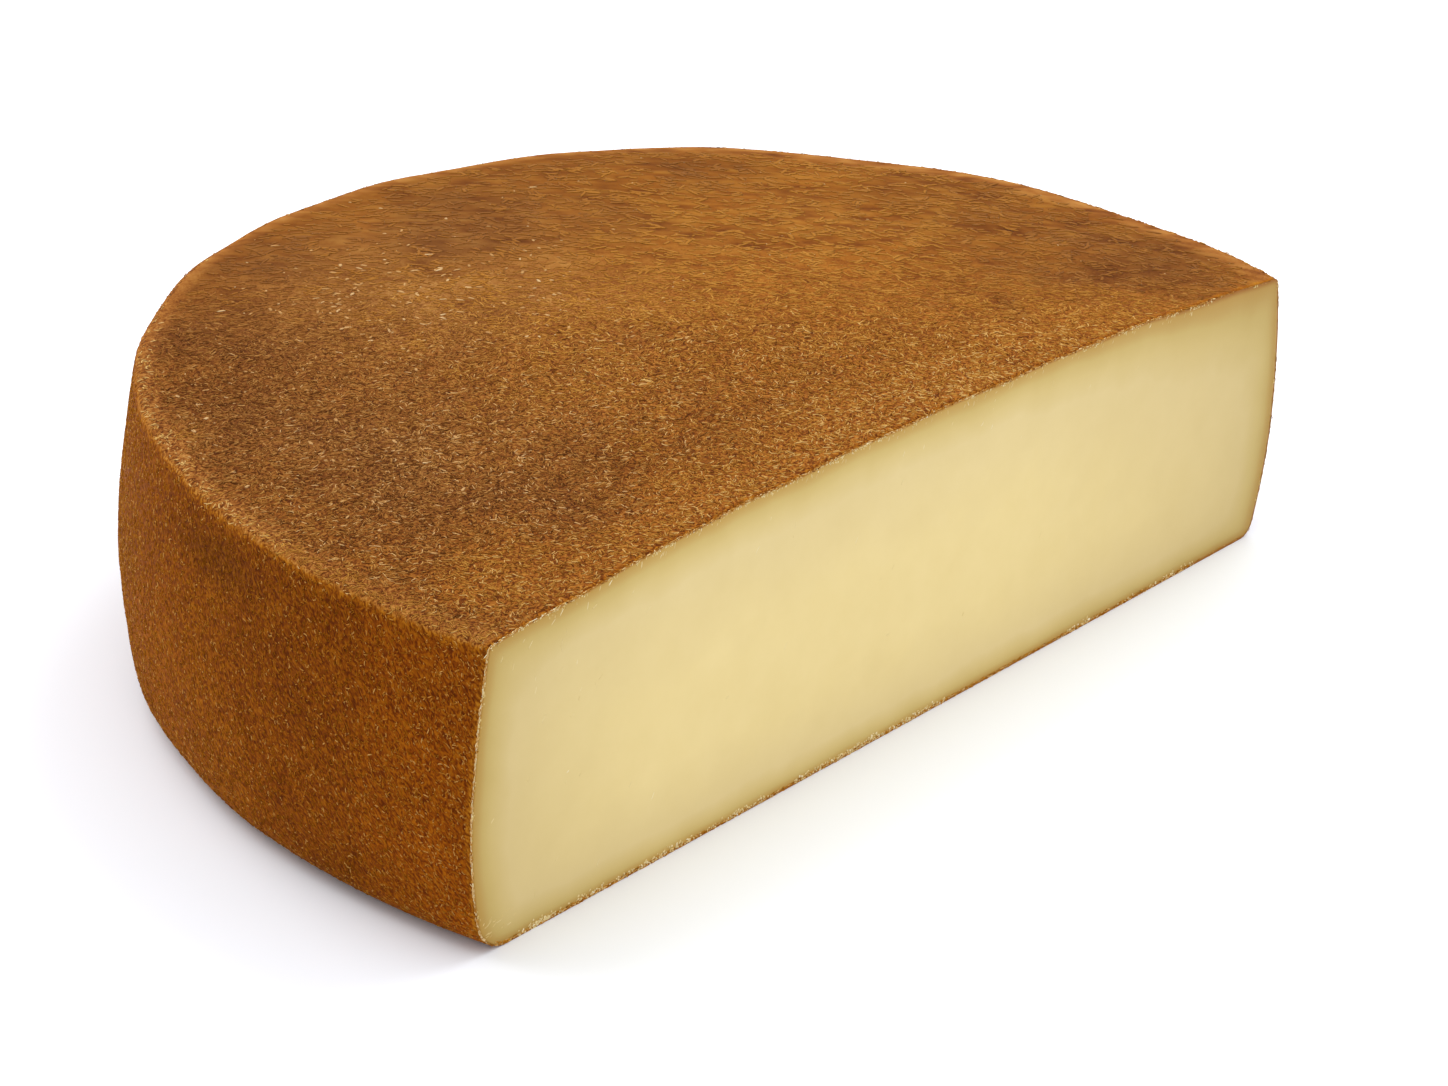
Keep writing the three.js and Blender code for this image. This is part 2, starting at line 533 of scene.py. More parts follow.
# A tapered strand with three sides, in two makes, and a crumb.
CURLED = template(bmesh.ops.create_uvsphere, u_segments=3, v_segments=3, radius=0.5)
SHORT = template(bmesh.ops.create_uvsphere, u_segments=3, v_segments=2, radius=0.5)
CRUMB = template(bmesh.ops.create_icosphere, subdivisions=1, radius=0.5)


def unit(vectors):
    return vectors / np.linalg.norm(vectors, axis=1)[:, None]


def copies(shape, points, outward, along, size, bend=0.0, rise=0.0, tone=0.5, gold=0.0):
    """Points, triangles and colours of many copies of a small shape. Each lies along a surface with
    its length, width and thickness from size, bends sideways and rises in its middle. outward may be
    one way for all. The colour is how light it is and how golden."""
    across, up, lengthwise = shape[0].T
    count = len(points)
    outward = np.broadcast_to(outward, points.shape)
    length, width, thickness = (np.broadcast_to(measure, count) for measure in size)
    bow = 1 - 4 * lengthwise**2
    ahead = np.outer(length, lengthwise)
    aside = np.outer(width, across) + np.outer(np.broadcast_to(bend, count), bow)
    above = np.outer(thickness, up) + np.outer(np.broadcast_to(rise, count), bow)
    places = points[:, None, :] + ahead[..., None] * along[:, None, :]
    places = places + aside[..., None] * np.cross(outward, along)[:, None, :]
    places = places + above[..., None] * outward[:, None, :]
    places = places.reshape(-1, 3)
    places[:, 2] = np.maximum(places[:, 2], 0.0)
    faces = shape[1][None] + np.arange(count)[:, None, None] * len(shape[0])
    colours = np.stack([np.broadcast_to(tone, count), np.broadcast_to(gold, count)], axis=1)
    colours = np.repeat(np.clip(colours, 0.0, 1.0), len(shape[0]), axis=0)
    return places, faces.reshape(-1, 3), colours


def joined(name, *lots):
    """One mesh of several lots of copies."""
    starts = np.cumsum([0] + [len(places) for places, _, _ in lots])
    places = np.concatenate([places for places, _, _ in lots])
    faces = np.concatenate([faces + start for (_, faces, _), start in zip(lots, starts)])
    mesh = bpy.data.meshes.new(name)
    mesh.from_pydata(to_frame(places), [], faces)
    tone, gold = np.concatenate([colours for _, _, colours in lots]).T
    set_attribute(mesh, "tone", tone)
    set_attribute(mesh, "gold", gold)
    mesh.shade_smooth()
    return mesh


def random_size(count, *ranges):
    """Random lengths, widths and thicknesses, each between two limits."""
    return [draw.uniform(low, high, count) for low, high in ranges]


def laid(ahead, outward):
    """Directions turned to lie along a surface."""
    return unit(ahead - outward * (ahead * outward).sum(axis=1)[:, None])


def around(outward):
    """Level directions round the wheel, to the right as seen from outside."""
    return unit(np.cross((0.0, 0.0, 1.0), outward))


def down_the_side(points, outward, brushed):
    """Directions down the side that lean with the strands there."""
    level = around(outward)
    upright = np.cross(outward, level)
    turn = STRAND_LEAN + math.radians(50) * draw.standard_normal(len(outward))
    return level * np.sin(turn)[:, None] - upright * np.cos(turn)[:, None]


def over_the_top(points, outward, brushed):
    """Directions over the top: in swirls, and along the strokes where it was brushed."""
    count = len(points)
    swirl = np.array([noise.noise(Vector(point) / SWIRL_LENGTH) for point in points])
    swirl *= 1.2 * math.pi * np.maximum(1 - 1.6 * brushed, 0.0)
    turn = STROKE_HEADING + swirl + draw.normal(0, math.radians(28), count)
    ahead = np.column_stack([np.cos(turn), np.sin(turn), np.zeros(count)])
    return laid(ahead, outward)


def any_way(outward):
    """Directions along a surface, all alike likely."""
    return unit(np.cross(outward, draw.standard_normal(outward.shape)))


def strands(shape, rind, liking, count, length, width, thickness, curl, turned, tone):
    """Strands of the rind's dried skin that stand a little proud of it."""
    points, outward, chosen = scattered(rind, liking, count)
    here = {key: values[chosen] for key, values in rind.measures.items()}
    brushed = here["brushed"] * (here["from_rim"] > 0)
    along = turned(points, outward, brushed)
    # The brushed ones are long, broad and flat, and those by the rim at the back are flat too.
    flat = 1 - 0.85 * (here["from_rim"] < 3.5) * (here["from_rim"] > -1) * (here["from_cut"] > 60)
    size = random_size(count, length, width, thickness)
    size[0] *= 1 + 1.2 * brushed
    size[1] *= 1 + 2.2 * brushed
    size[2] *= 1 - 0.8 * brushed
    size[2] *= flat
    bend = draw.normal(0, curl, count) * size[0] * (1 - 0.5 * brushed)
    golden = here["shade"] + 0.7 * here["broad"] + 0.5 * brushed + smoothstep(here["from_rim"], 5, 1)
    gold = smoothstep(golden, -0.6, 1.1)
    return copies(shape, points, outward, along, size, bend, 0.06, tone(here, count), gold)


def along_edges(edges, liking, count):
    """Random places along the edge of the cut: points, directions along it and ways out of it."""
    run = edges[:, 1] - edges[:, 0]
    chance = np.linalg.norm(run, axis=1) * liking
    chosen = draw.choice(len(chance), count, p=chance / chance.sum())
    points = edges[chosen, 0] + draw.random(count)[:, None] * run[chosen]
    along = unit(run[chosen])
    out = np.cross(along, FACE_OUT)
    from_middle = points - (0.0, -CUT_FROM_AXIS, RIM_HEIGHT / 2)
    out *= np.sign((out * from_middle).sum(axis=1))[:, None]
    return points, along, out


def crumbled(points, outward, size, tone):
    """Crumbs of one size or so, each its own way round."""
    varied = [size * draw.uniform(0.6, 1.4, len(points)) * share for share in (1.3, 0.9, 0.5)]
    return copies(CRUMB, points, outward, any_way(outward), varied, 0.0, 0.0, tone)


# ---- materials


def linear(colour):
    """An sRGB hex colour as Blender's linear RGBA."""
    parts = [int(colour[i : i + 2], 16) / 255 for i in (1, 3, 5)]
    return (*[c / 12.92 if c <= 0.04045 else ((c + 0.055) / 1.055) ** 2.4 for c in parts], 1.0)


def add_node(tree, kind, feeds=None, stops=None, give=0, **settings):
    """Adds one shader node and returns one of its outputs, by name or number. feeds gives its
    inputs, by name or number, a value or a socket to read. stops gives a ramp's (place, colour)s."""
    made = tree.nodes.new("ShaderNode" + kind)
    for name, value in settings.items():
        setattr(made, name, value)
    for key, value in (feeds or {}).items():
        if isinstance(value, bpy.types.NodeSocket):
            tree.links.new(value, made.inputs[key])
        else:
            made.inputs[key].default_value = value
    if stops:
        ramp = made.color_ramp.elements
        while len(ramp) < len(stops):
            ramp.new(0.5)
        for element, (place, colour) in zip(ramp, stops):
            element.position = place
            element.color = linear(colour)
    return made.outputs[give] if made.outputs else None


# How a Mix node mixes and multiplies colours.
COLOURS = {"data_type": "RGBA", "give": 2}
MULTIPLIED = {**COLOURS, "blend_type": "MULTIPLY"}


def per_metre(size_mm):
    """A texture's scale from the size of what it draws."""
    return 1.0 / (size_mm * MM)


def new_material(name):
    material = bpy.data.materials.new(name)
    material.use_nodes = True
    material.node_tree.nodes.clear()
    return material, material.node_tree


def washed_rind():
    """A washed rind, rubbed with brine for months: a dry, matted brown skin of fine strands."""
    material, tree = new_material("washed_rind")
    place = add_node(tree, "TexCoord", give="Object")
    depthwise, height = (add_node(tree, "SeparateXYZ", {0: place}, give=axis) for axis in "YZ")
    rim, shade, bloom, wrinkles, brushed = (
        add_node(tree, "Attribute", attribute_name=name, give="Fac")
        for name in ("from_rim", "shade", "bloom", "wrinkles", "brushed")
    )
    teeth, mottle, wide_mottle = (
        add_node(tree, "TexNoise", {"Vector": place, "Scale": per_metre(size), "Detail": detail})
        for size, detail in ((2.2, 1.0), (17, 4.0), (60, 2.0))
    )
    # The top's skin ends in small teeth at the rim.
    rim = add_node(tree, "Math", {0: teeth, 1: 1.6 * MM, 2: rim}, operation="MULTIPLY_ADD")
    rim = add_node(tree, "Math", {0: rim, 1: 0.8 * MM}, operation="SUBTRACT")
    on_top = add_node(tree, "MapRange", {"Value": rim, "From Min": -0.8 * MM, "From Max": -0.45 * MM})

    # Strands on the side run down it with a lean, so they are drawn in a space that is twisted about
    # the wheel's axis and squeezed along it.
    twist = math.tan(STRAND_LEAN) / (WHEEL_RADIUS * MM)
    turn = add_node(tree, "Math", {0: height, 1: twist}, operation="MULTIPLY")
    axis = tuple(to_frame([[0.0, 0.0, 0.0]])[0])
    feeds = {"Vector": place, "Center": axis, "Angle": turn}
    twisted = add_node(tree, "VectorRotate", feeds, rotation_type="Z_AXIS")
    squeezed = add_node(tree, "VectorMath", {0: twisted, 1: (1, 1, 0.8)}, operation="MULTIPLY")
    # On the top they run in wavy lines, and where it was brushed they are drawn out along the strokes.
    feeds = {"Vector": place, "Angle": -STROKE_HEADING}
    across = add_node(tree, "VectorRotate", feeds, rotation_type="Z_AXIS")
    drawn = add_node(tree, "VectorMath", {0: across, 1: (0.45, 1, 1)}, operation="MULTIPLY")
    side_strands, rough, smooth = (
        add_node(tree, "TexNoise", {"Vector": space, "Scale": per_metre(size), "Detail": detail})
        for space, size, detail in (
            (flowing(tree, squeezed, 3.0), 0.7, 2.0),
            (flowing(tree, place, 5.0), 0.8, 2.0),
            (flowing(tree, drawn, 3.0), 3.4, 1.5),
        )
    )
    smooth = add_node(tree, "MapRange", {"Value": smooth, "To Min": 0.38, "To Max": 0.76})
    top_strands = add_node(tree, "Mix", {0: brushed, 2: rough, 3: smooth})
    strand = add_node(tree, "Mix", {0: on_top, 2: side_strands, 3: top_strands})
    # Painted shade: in the hollows between wrinkles the strands are darker.
    depth = add_node(tree, "Math", {0: brushed, 1: 0.08, 2: 0.05}, operation="MULTIPLY_ADD")
    strand = add_node(tree, "Math", {0: wrinkles, 1: depth, 2: strand}, operation="MULTIPLY_ADD")

    grown = add_node(tree, "Math", {0: shade, 1: 0.2, 2: 0.3}, operation="MULTIPLY_ADD")
    grown = add_node(tree, "Math", {0: mottle, 1: 0.6, 2: grown}, operation="MULTIPLY_ADD")
    # The top's ground is duller than the side's more orange one, partly painted sheen on the top.
    stops = [(0.34, "#6f421a"), (0.56, "#8d5a21"), (0.8, "#a46c29")]
    top_ground = add_node(tree, "ValToRGB", {0: grown}, stops)
    patchwork = add_node(tree, "Mix", {0: 0.4, 2: wide_mottle, 3: mottle})
    stops = [(0.36, "#7f4604"), (0.5, "#8a4c05"), (0.64, "#955606")]
    side_ground = add_node(tree, "ValToRGB", {0: patchwork}, stops)
    # Painted light: the side is a little lighter towards its foot, against the floor's shade there, and
    # a little darker towards its top.
    feeds = {"Value": height, "From Max": RIM_HEIGHT * MM, "To Min": 1.16, "To Max": 0.9}
    painted_light_at_foot = add_node(tree, "MapRange", feeds)
    # The side's ground follows its shade: painted shadow under the rim, painted sheen round to the back,
    # and paler by the cut.
    feeds = {"Value": shade, "From Min": -1.0, "To Min": 0.68, "To Max": 1.24}
    shadow_sheen_and_paleness = add_node(tree, "MapRange", feeds)
    for share in (painted_light_at_foot, shadow_sheen_and_paleness):
        side_ground = add_node(tree, "VectorMath", {0: side_ground, 3: share}, operation="SCALE")
    # Brushing wore the top's colour down.
    worn = add_node(tree, "Mix", {0: brushed, 6: (1, 1, 1, 1), 7: (0.84, 0.82, 0.64, 1)}, **COLOURS)
    top_ground = add_node(tree, "VectorMath", {0: top_ground, 1: worn}, operation="MULTIPLY")
    powder = add_node(tree, "Math", {0: bloom, 1: mottle}, operation="MULTIPLY")
    top_ground = add_node(tree, "Mix", {0: powder, 6: top_ground, 7: linear("#a8834f")}, **COLOURS)
    ground = add_node(tree, "Mix", {0: on_top, 6: side_ground, 7: top_ground}, **COLOURS)

    # Rubbed thin, the rind is amber under the rim and beside the cut, and tan along the top's edge; the
    # lightest line, along the crest, is partly painted highlight.
    from_side = add_node(tree, "MapRange", {"Value": rim, "From Min": -3.5 * MM, "From Max": 1.5 * MM})
    stops = [(0.0, "#8a4f06"), (0.3, "#965a0a"), (0.44, "#a46814"), (0.56, "#b27c38"), (0.75, "#a26f36")]
    edge = add_node(tree, "ValToRGB", {0: from_side}, stops)
    # Towards the back of the wheel that band is narrower.
    back = add_node(tree, "MapRange", {"Value": depthwise, "From Min": 20 * MM, "From Max": 70 * MM})
    front_band = band(tree, rim, -3.4, -1.6, 1.5, 8.0)
    back_band = band(tree, rim, -3.4, -1.6, -0.2, 3.6)
    beside_rim = add_node(tree, "Mix", {0: back, 2: front_band, 3: back_band})
    ground = add_node(tree, "Mix", {0: beside_rim, 6: ground, 7: edge}, **COLOURS)
    cut_place = float(to_frame([[0.0, -CUT_FROM_AXIS, 0.0]])[0, 1])
    from_cut = add_node(tree, "Math", {0: depthwise, 1: cut_place}, operation="SUBTRACT")
    feeds = {"Value": from_cut, "From Min": 0.5 * MM, "From Max": 1.6 * MM, "To Min": 1, "To Max": 0}
    beside_cut = add_node(tree, "MapRange", feeds)
    ground = add_node(tree, "Mix", {0: beside_cut, 6: ground, 7: linear("#aa6e19")}, **COLOURS)

    # Painted shade in the gaps between strands, partly the skin's own darker ground, multiplied on its
    # colour.
    stops = [(0.36, "#83624b"), (0.47, "#bb9d84"), (0.56, "#e0ccb6"), (0.68, "#ffffff")]
    top_hollow_shade = add_node(tree, "ValToRGB", {0: strand}, stops)
    stops = [(0.36, "#9c7a46"), (0.5, "#d3ba8c"), (0.66, "#ffffff")]
    side_hollow_shade = add_node(tree, "ValToRGB", {0: strand}, stops)
    hollow_shade = add_node(tree, "Mix", {0: on_top, 6: side_hollow_shade, 7: top_hollow_shade}, **COLOURS)
    shaded_skin = add_node(tree, "Mix", {0: 1.0, 6: ground, 7: hollow_shade}, **MULTIPLIED)
    bump = add_node(tree, "Bump", {"Height": strand, "Distance": 0.5 * MM, "Strength": 0.6})
    skin = {
        "Base Color": shaded_skin,
        "Roughness": 0.8,
        "Specular IOR Level": 0.04,
        "Sheen Weight": 0.1,
        "Sheen Roughness": 0.4,
        "Sheen Tint": linear("#ffa436"),
        "Normal": bump,
    }
    add_node(tree, "OutputMaterial", {"Surface": add_node(tree, "BsdfPrincipled", skin)})
    return material


def flowing(tree, place, reach_mm):
    """Places strayed by up to half the reach, so that what is drawn there runs in wavy lines."""
    # The waves are about 3 mm long.
    feeds = {"Vector": place, "Scale": per_metre(3), "Detail": 2.0}
    waves = add_node(tree, "TexNoise", feeds, give="Color")
    stray = add_node(tree, "VectorMath", {0: waves, 1: (0.5, 0.5, 0.5)}, operation="SUBTRACT")
    stray = add_node(tree, "VectorMath", {0: stray, 3: reach_mm * MM}, operation="SCALE")
    return add_node(tree, "VectorMath", {0: place, 1: stray}, operation="ADD")


def band(tree, value, *edges_mm):
    """1 between the middle two edges, fading to 0 at the outer two."""
    start, full, fading, end = (edge * MM for edge in edges_mm)
    rising = add_node(tree, "MapRange", {"Value": value, "From Min": start, "From Max": full})
    feeds = {"Value": value, "From Min": fading, "From Max": end, "To Min": 1, "To Max": 0}
    falling = add_node(tree, "MapRange", feeds)
    return add_node(tree, "Math", {0: rising, 1: falling}, operation="MULTIPLY")


def cut_paste():
    """Cut semi-hard cheese: close, slightly waxy, a little translucent, darker under the rind."""
    material, tree = new_material("cut_paste")
    place = add_node(tree, "TexCoord", give="Object")
    depth = add_node(tree, "Attribute", attribute_name="under_rind", give="Fac")
    uneven = add_node(tree, "TexNoise", {"Vector": place, "Scale": per_metre(14), "Detail": 2.0})
    stray = add_node(tree, "MapRange", {"Value": uneven, "To Min": 0.72, "To Max": 1.28})
    depth = add_node(tree, "Math", {0: depth, 1: stray}, operation="MULTIPLY")
    share = add_node(tree, "MapRange", {"Value": depth, "From Max": 40 * MM})
    crust = [(0.0, "#9c6018"), (0.01, "#aa7630"), (0.022, "#ba944b"), (0.06, "#c09f5a")]
    paste = [(0.1, "#c9af6c"), (0.17, "#d2ba7b"), (0.3, "#dbc58d"), (0.85, "#e3cd91")]
    colour = add_node(tree, "ValToRGB", {0: share}, crust + paste)
    feeds = {"Vector": place, "Scale": per_metre(16), "Detail": 4.0, "Roughness": 0.6}
    clouds = add_node(tree, "TexNoise", feeds)
    clouds = add_node(tree, "ValToRGB", {0: clouds}, [(0.3, "#fbfaf6"), (0.7, "#ffffff")])
    # Dulling from the two ends of the cut, by the place along it; the wider, deeper dulling at the right
    # end is painted shade against the light from the right.
    along = add_node(tree, "SeparateXYZ", {0: place}, give="X")
    ends = to_frame([[-WHEEL_RADIUS, 0.0, 0.0], [WHEEL_RADIUS, 0.0, 0.0]])[:, 0]
    along = add_node(tree, "MapRange", {"Value": along, "From Min": ends[0], "From Max": ends[1]})
    stops = [(0.0, "#ebe8e0"), (0.22, "#ffffff"), (0.62, "#ffffff"), (0.85, "#f4f2ee"), (1.0, "#e6e3d9")]
    dulled_ends = add_node(tree, "ValToRGB", {0: along}, stops)
    for layer in (clouds, dulled_ends):
        colour = add_node(tree, "Mix", {0: 1.0, 6: colour, 7: layer}, **MULTIPLIED)

    waxy = {"Base Color": colour, "Roughness": 0.5, "Specular IOR Level": 0.1}
    add_node(tree, "OutputMaterial", {"Surface": add_node(tree, "BsdfPrincipled", waxy)})
    return material


def toned(name, roughness, stops, golden=None):
    """A finish for small things, each in its own tone, and some more golden than others."""
    material, tree = new_material(name)
    tone, gold = (
        add_node(tree, "Attribute", attribute_name=key, give="Fac") for key in ("tone", "gold")
    )
    colour = add_node(tree, "ValToRGB", {0: tone}, stops)
    if golden:
        golden = add_node(tree, "ValToRGB", {0: tone}, golden)
        colour = add_node(tree, "Mix", {0: gold, 6: colour, 7: golden}, **COLOURS)
    dry = {"Base Color": colour, "Roughness": roughness, "Specular IOR Level": 0.04}
    add_node(tree, "OutputMaterial", {"Surface": add_node(tree, "BsdfPrincipled", dry)})
    return material


# ---- pieces


def add_object(name, data):
    made = bpy.data.objects.new(name, data)
    bpy.context.scene.collection.objects.link(made)
    return made


def add_piece(name, mesh, materials):
    piece = add_object(name, mesh)
    for material in materials:
        mesh.materials.append(material)
    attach(piece, "root")
    return piece


def add_cheese():
    mesh, rind, cut_edges = cheese_mesh()
    piece = add_piece("cut_cheese", mesh, [washed_rind(), cut_paste()])
    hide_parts("cut_wheel")
    add_strands(rind)
    add_edges(rind, cut_edges)
    add_cut_marks(cut_edges)


def top_tone(here, count):
    shade, bloom, brushed, from_cut = (here[key] for key in ("shade", "bloom", "brushed", "from_cut"))
    rough = 0.1 + 0.9 * (1 - brushed) ** 1.6
    spread = 0.28 * rough * (1 + 0.35 * np.clip(-shade, 0, 1))
    spread *= 1 - 0.35 * smoothstep(from_cut, 60, 120) - 0.12 * np.clip(shade, 0, 1)
    # By the rim the strands are paler, and more so towards the back: partly painted highlight along the
    # crest.
    by_rim = smoothstep(here["from_rim"], 4, 1)
    tone = 0.37 + 0.02 * brushed + by_rim * (0.14 + 0.44 * smoothstep(from_cut, 40, 100))
    tone += spread * (1 - 0.65 * by_rim) * draw.standard_normal(count)
    tone += 0.14 * shade + 0.08 * bloom
    # On the wrinkles' ridges the strands are paler and in their hollows darker: partly painted shade.
    tone += (0.05 + 0.03 * brushed) * here["wrinkles"] + 0.05 * here["broad"]
    # Along the cut, but for its brushed right end, they are paler.
    tone += 0.08 * smoothstep(from_cut, 34, 8) * (1 - smoothstep(brushed, 0.2, 0.6))
    pale = draw.random(count) < 0.01 + 0.05 * np.clip(bloom, 0, 1)
    return np.where(pale, tone + 0.3 * rough, tone).clip(-0.1, 0.96)


def curl_tone(here, count):
    return top_tone(here, count) + 0.19 * (1 - here["brushed"])


def side_tone(here, count):
    paler = np.clip(here["shade"], 0, 1)
    tone = 0.37 + (0.32 - 0.12 * paler) * draw.standard_normal(count)
    # The side's strands follow its shade: painted shadow under the rim, painted sheen round to the back,
    # and paler by the cut.
    tone += 0.3 * here["shade"] - 0.14 * paler
    return np.minimum(tone, 0.95)


def add_strands(rind):
    """Dried strands of the rind: brown to tan, and some pale with bloom."""
    rim, from_cut, brushed, bloom = (
        rind.measures[key] for key in ("from_rim", "from_cut", "brushed", "bloom")
    )
    whole = from_cut > 0.5
    on_top = (rim > -0.3) * whole * np.clip(1 + 0.3 * rind.measures["wrinkles"], 0.3, 2)
    # Fewer stand along the back of the rim, which handling rubbed smooth, and where it was brushed.
    on_top = on_top * (1 - 0.6 * smoothstep(from_cut, 50, 90) * (rim < 3.5))
    on_top = on_top * (1 - 0.65 * brushed) * np.where(from_cut < 1.8, 0.4, 1)
    on_top = on_top * (1 - smoothstep(brushed, 0.1, 0.5) * (rim < 4))
    rough = on_top * (1 - 0.97 * smoothstep(brushed, 0, 0.9))
    rubbed = np.where((rim > -2.2) | (from_cut < 1.2), 0.15, 1.0)
    on_side = (rim < -1.2) * (rind.corners[:, :, 2].min(axis=1) > 2) * whole * rubbed
    top = toned(
        "dried_top_strands",
        0.8,
        [(0.0, "#532d0f"), (0.35, "#835122"), (0.62, "#9d6c34"), (0.85, "#b18148"), (1.0, "#c9a06c")],
        [(0.0, "#5a300c"), (0.35, "#8d581c"), (0.62, "#a46e2a"), (0.85, "#b58239"), (1.0, "#c9a05f")],
    )
    flakes = toned("dried_bloom", 0.8, [(0.0, "#9b6e3e"), (0.5, "#b08552"), (1.0, "#c0a175")])
    side = toned(
        "dried_side_strands",
        0.8,
        [(0.0, "#6f3d05"), (0.35, "#8a5006"), (0.65, "#a66a20"), (1.0, "#c39350")],
    )

    thin, medium, broad = (0.28, 0.42), (0.32, 0.46), (0.36, 0.58)
    low, proud = (0.16, 0.28), (0.24, 0.42)
    over, down = over_the_top, down_the_side
    # Name, make, how many, length, width, thickness, curl, where, which way, tone and finish.
    sorts = (
        ("top_strands", CURLED, 15800, (1.0, 2.4), broad, proud, 0.24, on_top, over, top_tone, top),
        ("top_fuzz", SHORT, 18000, (0.5, 1.2), thin, proud, 0.2, rough, over, top_tone, top),
        ("top_curls", CURLED, 9000, (1.1, 2.6), medium, proud, 0.36, rough, over, curl_tone, top),
        ("side_strands", CURLED, 15800, (0.8, 1.7), medium, low, 0.34, on_side, down, side_tone, side),
        ("side_fuzz", SHORT, 31600, (0.4, 1.0), thin, low, 0.2, on_side, down, side_tone, side),
    )
    for name, shape, count, length, width, thickness, curl, where, turned, tone, finish in sorts:
        lot = strands(shape, rind, where, count, length, width, thickness, curl, turned, tone)
        add_piece(name, joined(name, lot), [finish])

    # Specks of bloom: small ones all over, broad flakes where it grew thickest.
    lots = []
    for count, liking, length, width in (
        (220, (rim > 2) * whole * (0.1 + bloom.clip(0, 1)), (0.5, 1.1), (0.35, 0.6)),
        (200, bloom.clip(0.02, 1) ** 2 * (rim > 4), (1.2, 2.8), (0.6, 1.1)),
    ):
        points, outward, _ = scattered(rind, liking, count)
        size = random_size(count, length, width, (0.14, 0.26))
        tone = draw.normal(0.45, 0.25, count)
        lots.append(copies(CRUMB, points, outward, any_way(outward), size, 0.0, 0.06, tone))
    add_piece("bloom_specks", joined("bloom_specks", *lots), [flakes])


def add_edges(rind, cut_edges):
    """Dry bits along the top's rim and along the edges of the cut."""
    finish = toned(
        "dried_rind_edge",
        0.7,
        [(0.0, "#5d3210"), (0.3, "#9c6420"), (0.6, "#b98237"), (1.0, "#e0c189")],
        [(0.0, "#86480a"), (0.3, "#a9690f"), (0.6, "#c98a2a"), (1.0, "#e8c98a")],
    )
    rim, from_cut = rind.measures["from_rim"], rind.measures["from_cut"]
    crest = (rim > -1.0) * (rim < 0.4) * (from_cut > 0.5)
    crest = crest * (1 - 0.85 * smoothstep(from_cut, 70, 150))
    count = 500
    points, outward, _ = scattered(rind, crest, count)
    ahead = unit(around(outward) + 0.6 * draw.standard_normal((count, 3)))
    ahead = laid(ahead, outward)
    size = random_size(count, (0.5, 1.5), (0.2, 0.36), (0.16, 0.26))
    bend = draw.normal(0, 0.16, count) * size[0]
    curls = copies(CURLED, points, outward, ahead, size, bend, 0.04, draw.normal(0.46, 0.2, count))
    add_piece("rim_curls", joined("rim_curls", curls), [finish])

    # More bits lie along the base, and few up the cut's right end.
    x, _, height = cut_edges.mean(axis=1).T
    wiped = (x > 120) * (height < RIM_HEIGHT - 2)
    count = 3400
    liking = np.where(height > 1.0, 1.0, 1.2) * (1 - 0.8 * wiped)
    points, ahead, out = along_edges(cut_edges, liking, count)
    low = points[:, 2] < 1
    aside = np.where(low, draw.uniform(-1.0, -0.1, count), draw.uniform(-0.35, 0.05, count))
    points = points + out * aside[:, None]
    points[:, 1] -= draw.uniform(-0.1, 0.12, count)
    outward = unit(out + FACE_OUT * draw.uniform(0.3, 1.5, count)[:, None])
    ahead = unit(ahead + 0.25 * np.cross(outward, ahead) * draw.standard_normal(count)[:, None])
    small = np.where(points[:, 0] > 120, 0.6, 1.0)
    size = random_size(count, (0.5, 1.6), (0.2, 0.42), (0.16, 0.3))
    size[1] *= small
    size[2] *= small
    at_end = np.abs(out[:, 0]) > 0.6
    high = (points[:, 2] > RIM_HEIGHT - 3) & (points[:, 0] < 120)
    # Those low by the base are lighter and golden, partly painted light against the shade where the
    # wheel meets the floor.
    tone = draw.normal(0.42, 0.22, count) + 0.2 * at_end + 0.16 * low + 0.14 * high
    bits = copies(CURLED, points, outward, ahead, size, 0.0, 0.04, tone, 1.0 * low)
    add_piece("cut_rind_bits", joined("cut_rind_bits", bits), [finish])


def slivers(x, z, turn, length, width, tone):
    """Flat slivers on the cut face, turned from level."""
    count = len(x)
    points = np.column_stack([x, np.full(count, -CUT_FROM_AXIS), z])
    turns = draw.normal(math.radians(turn), math.radians(18), count)
    ahead = np.column_stack([np.cos(turns), np.zeros(count), np.sin(turns)])
    size = random_size(count, length, width, (0.06, 0.14))
    bend = draw.normal(0, 0.1, count) * size[0]
    return copies(CURLED, points, FACE_OUT, ahead, size, bend, 0.0, draw.normal(tone, 0.1, count))


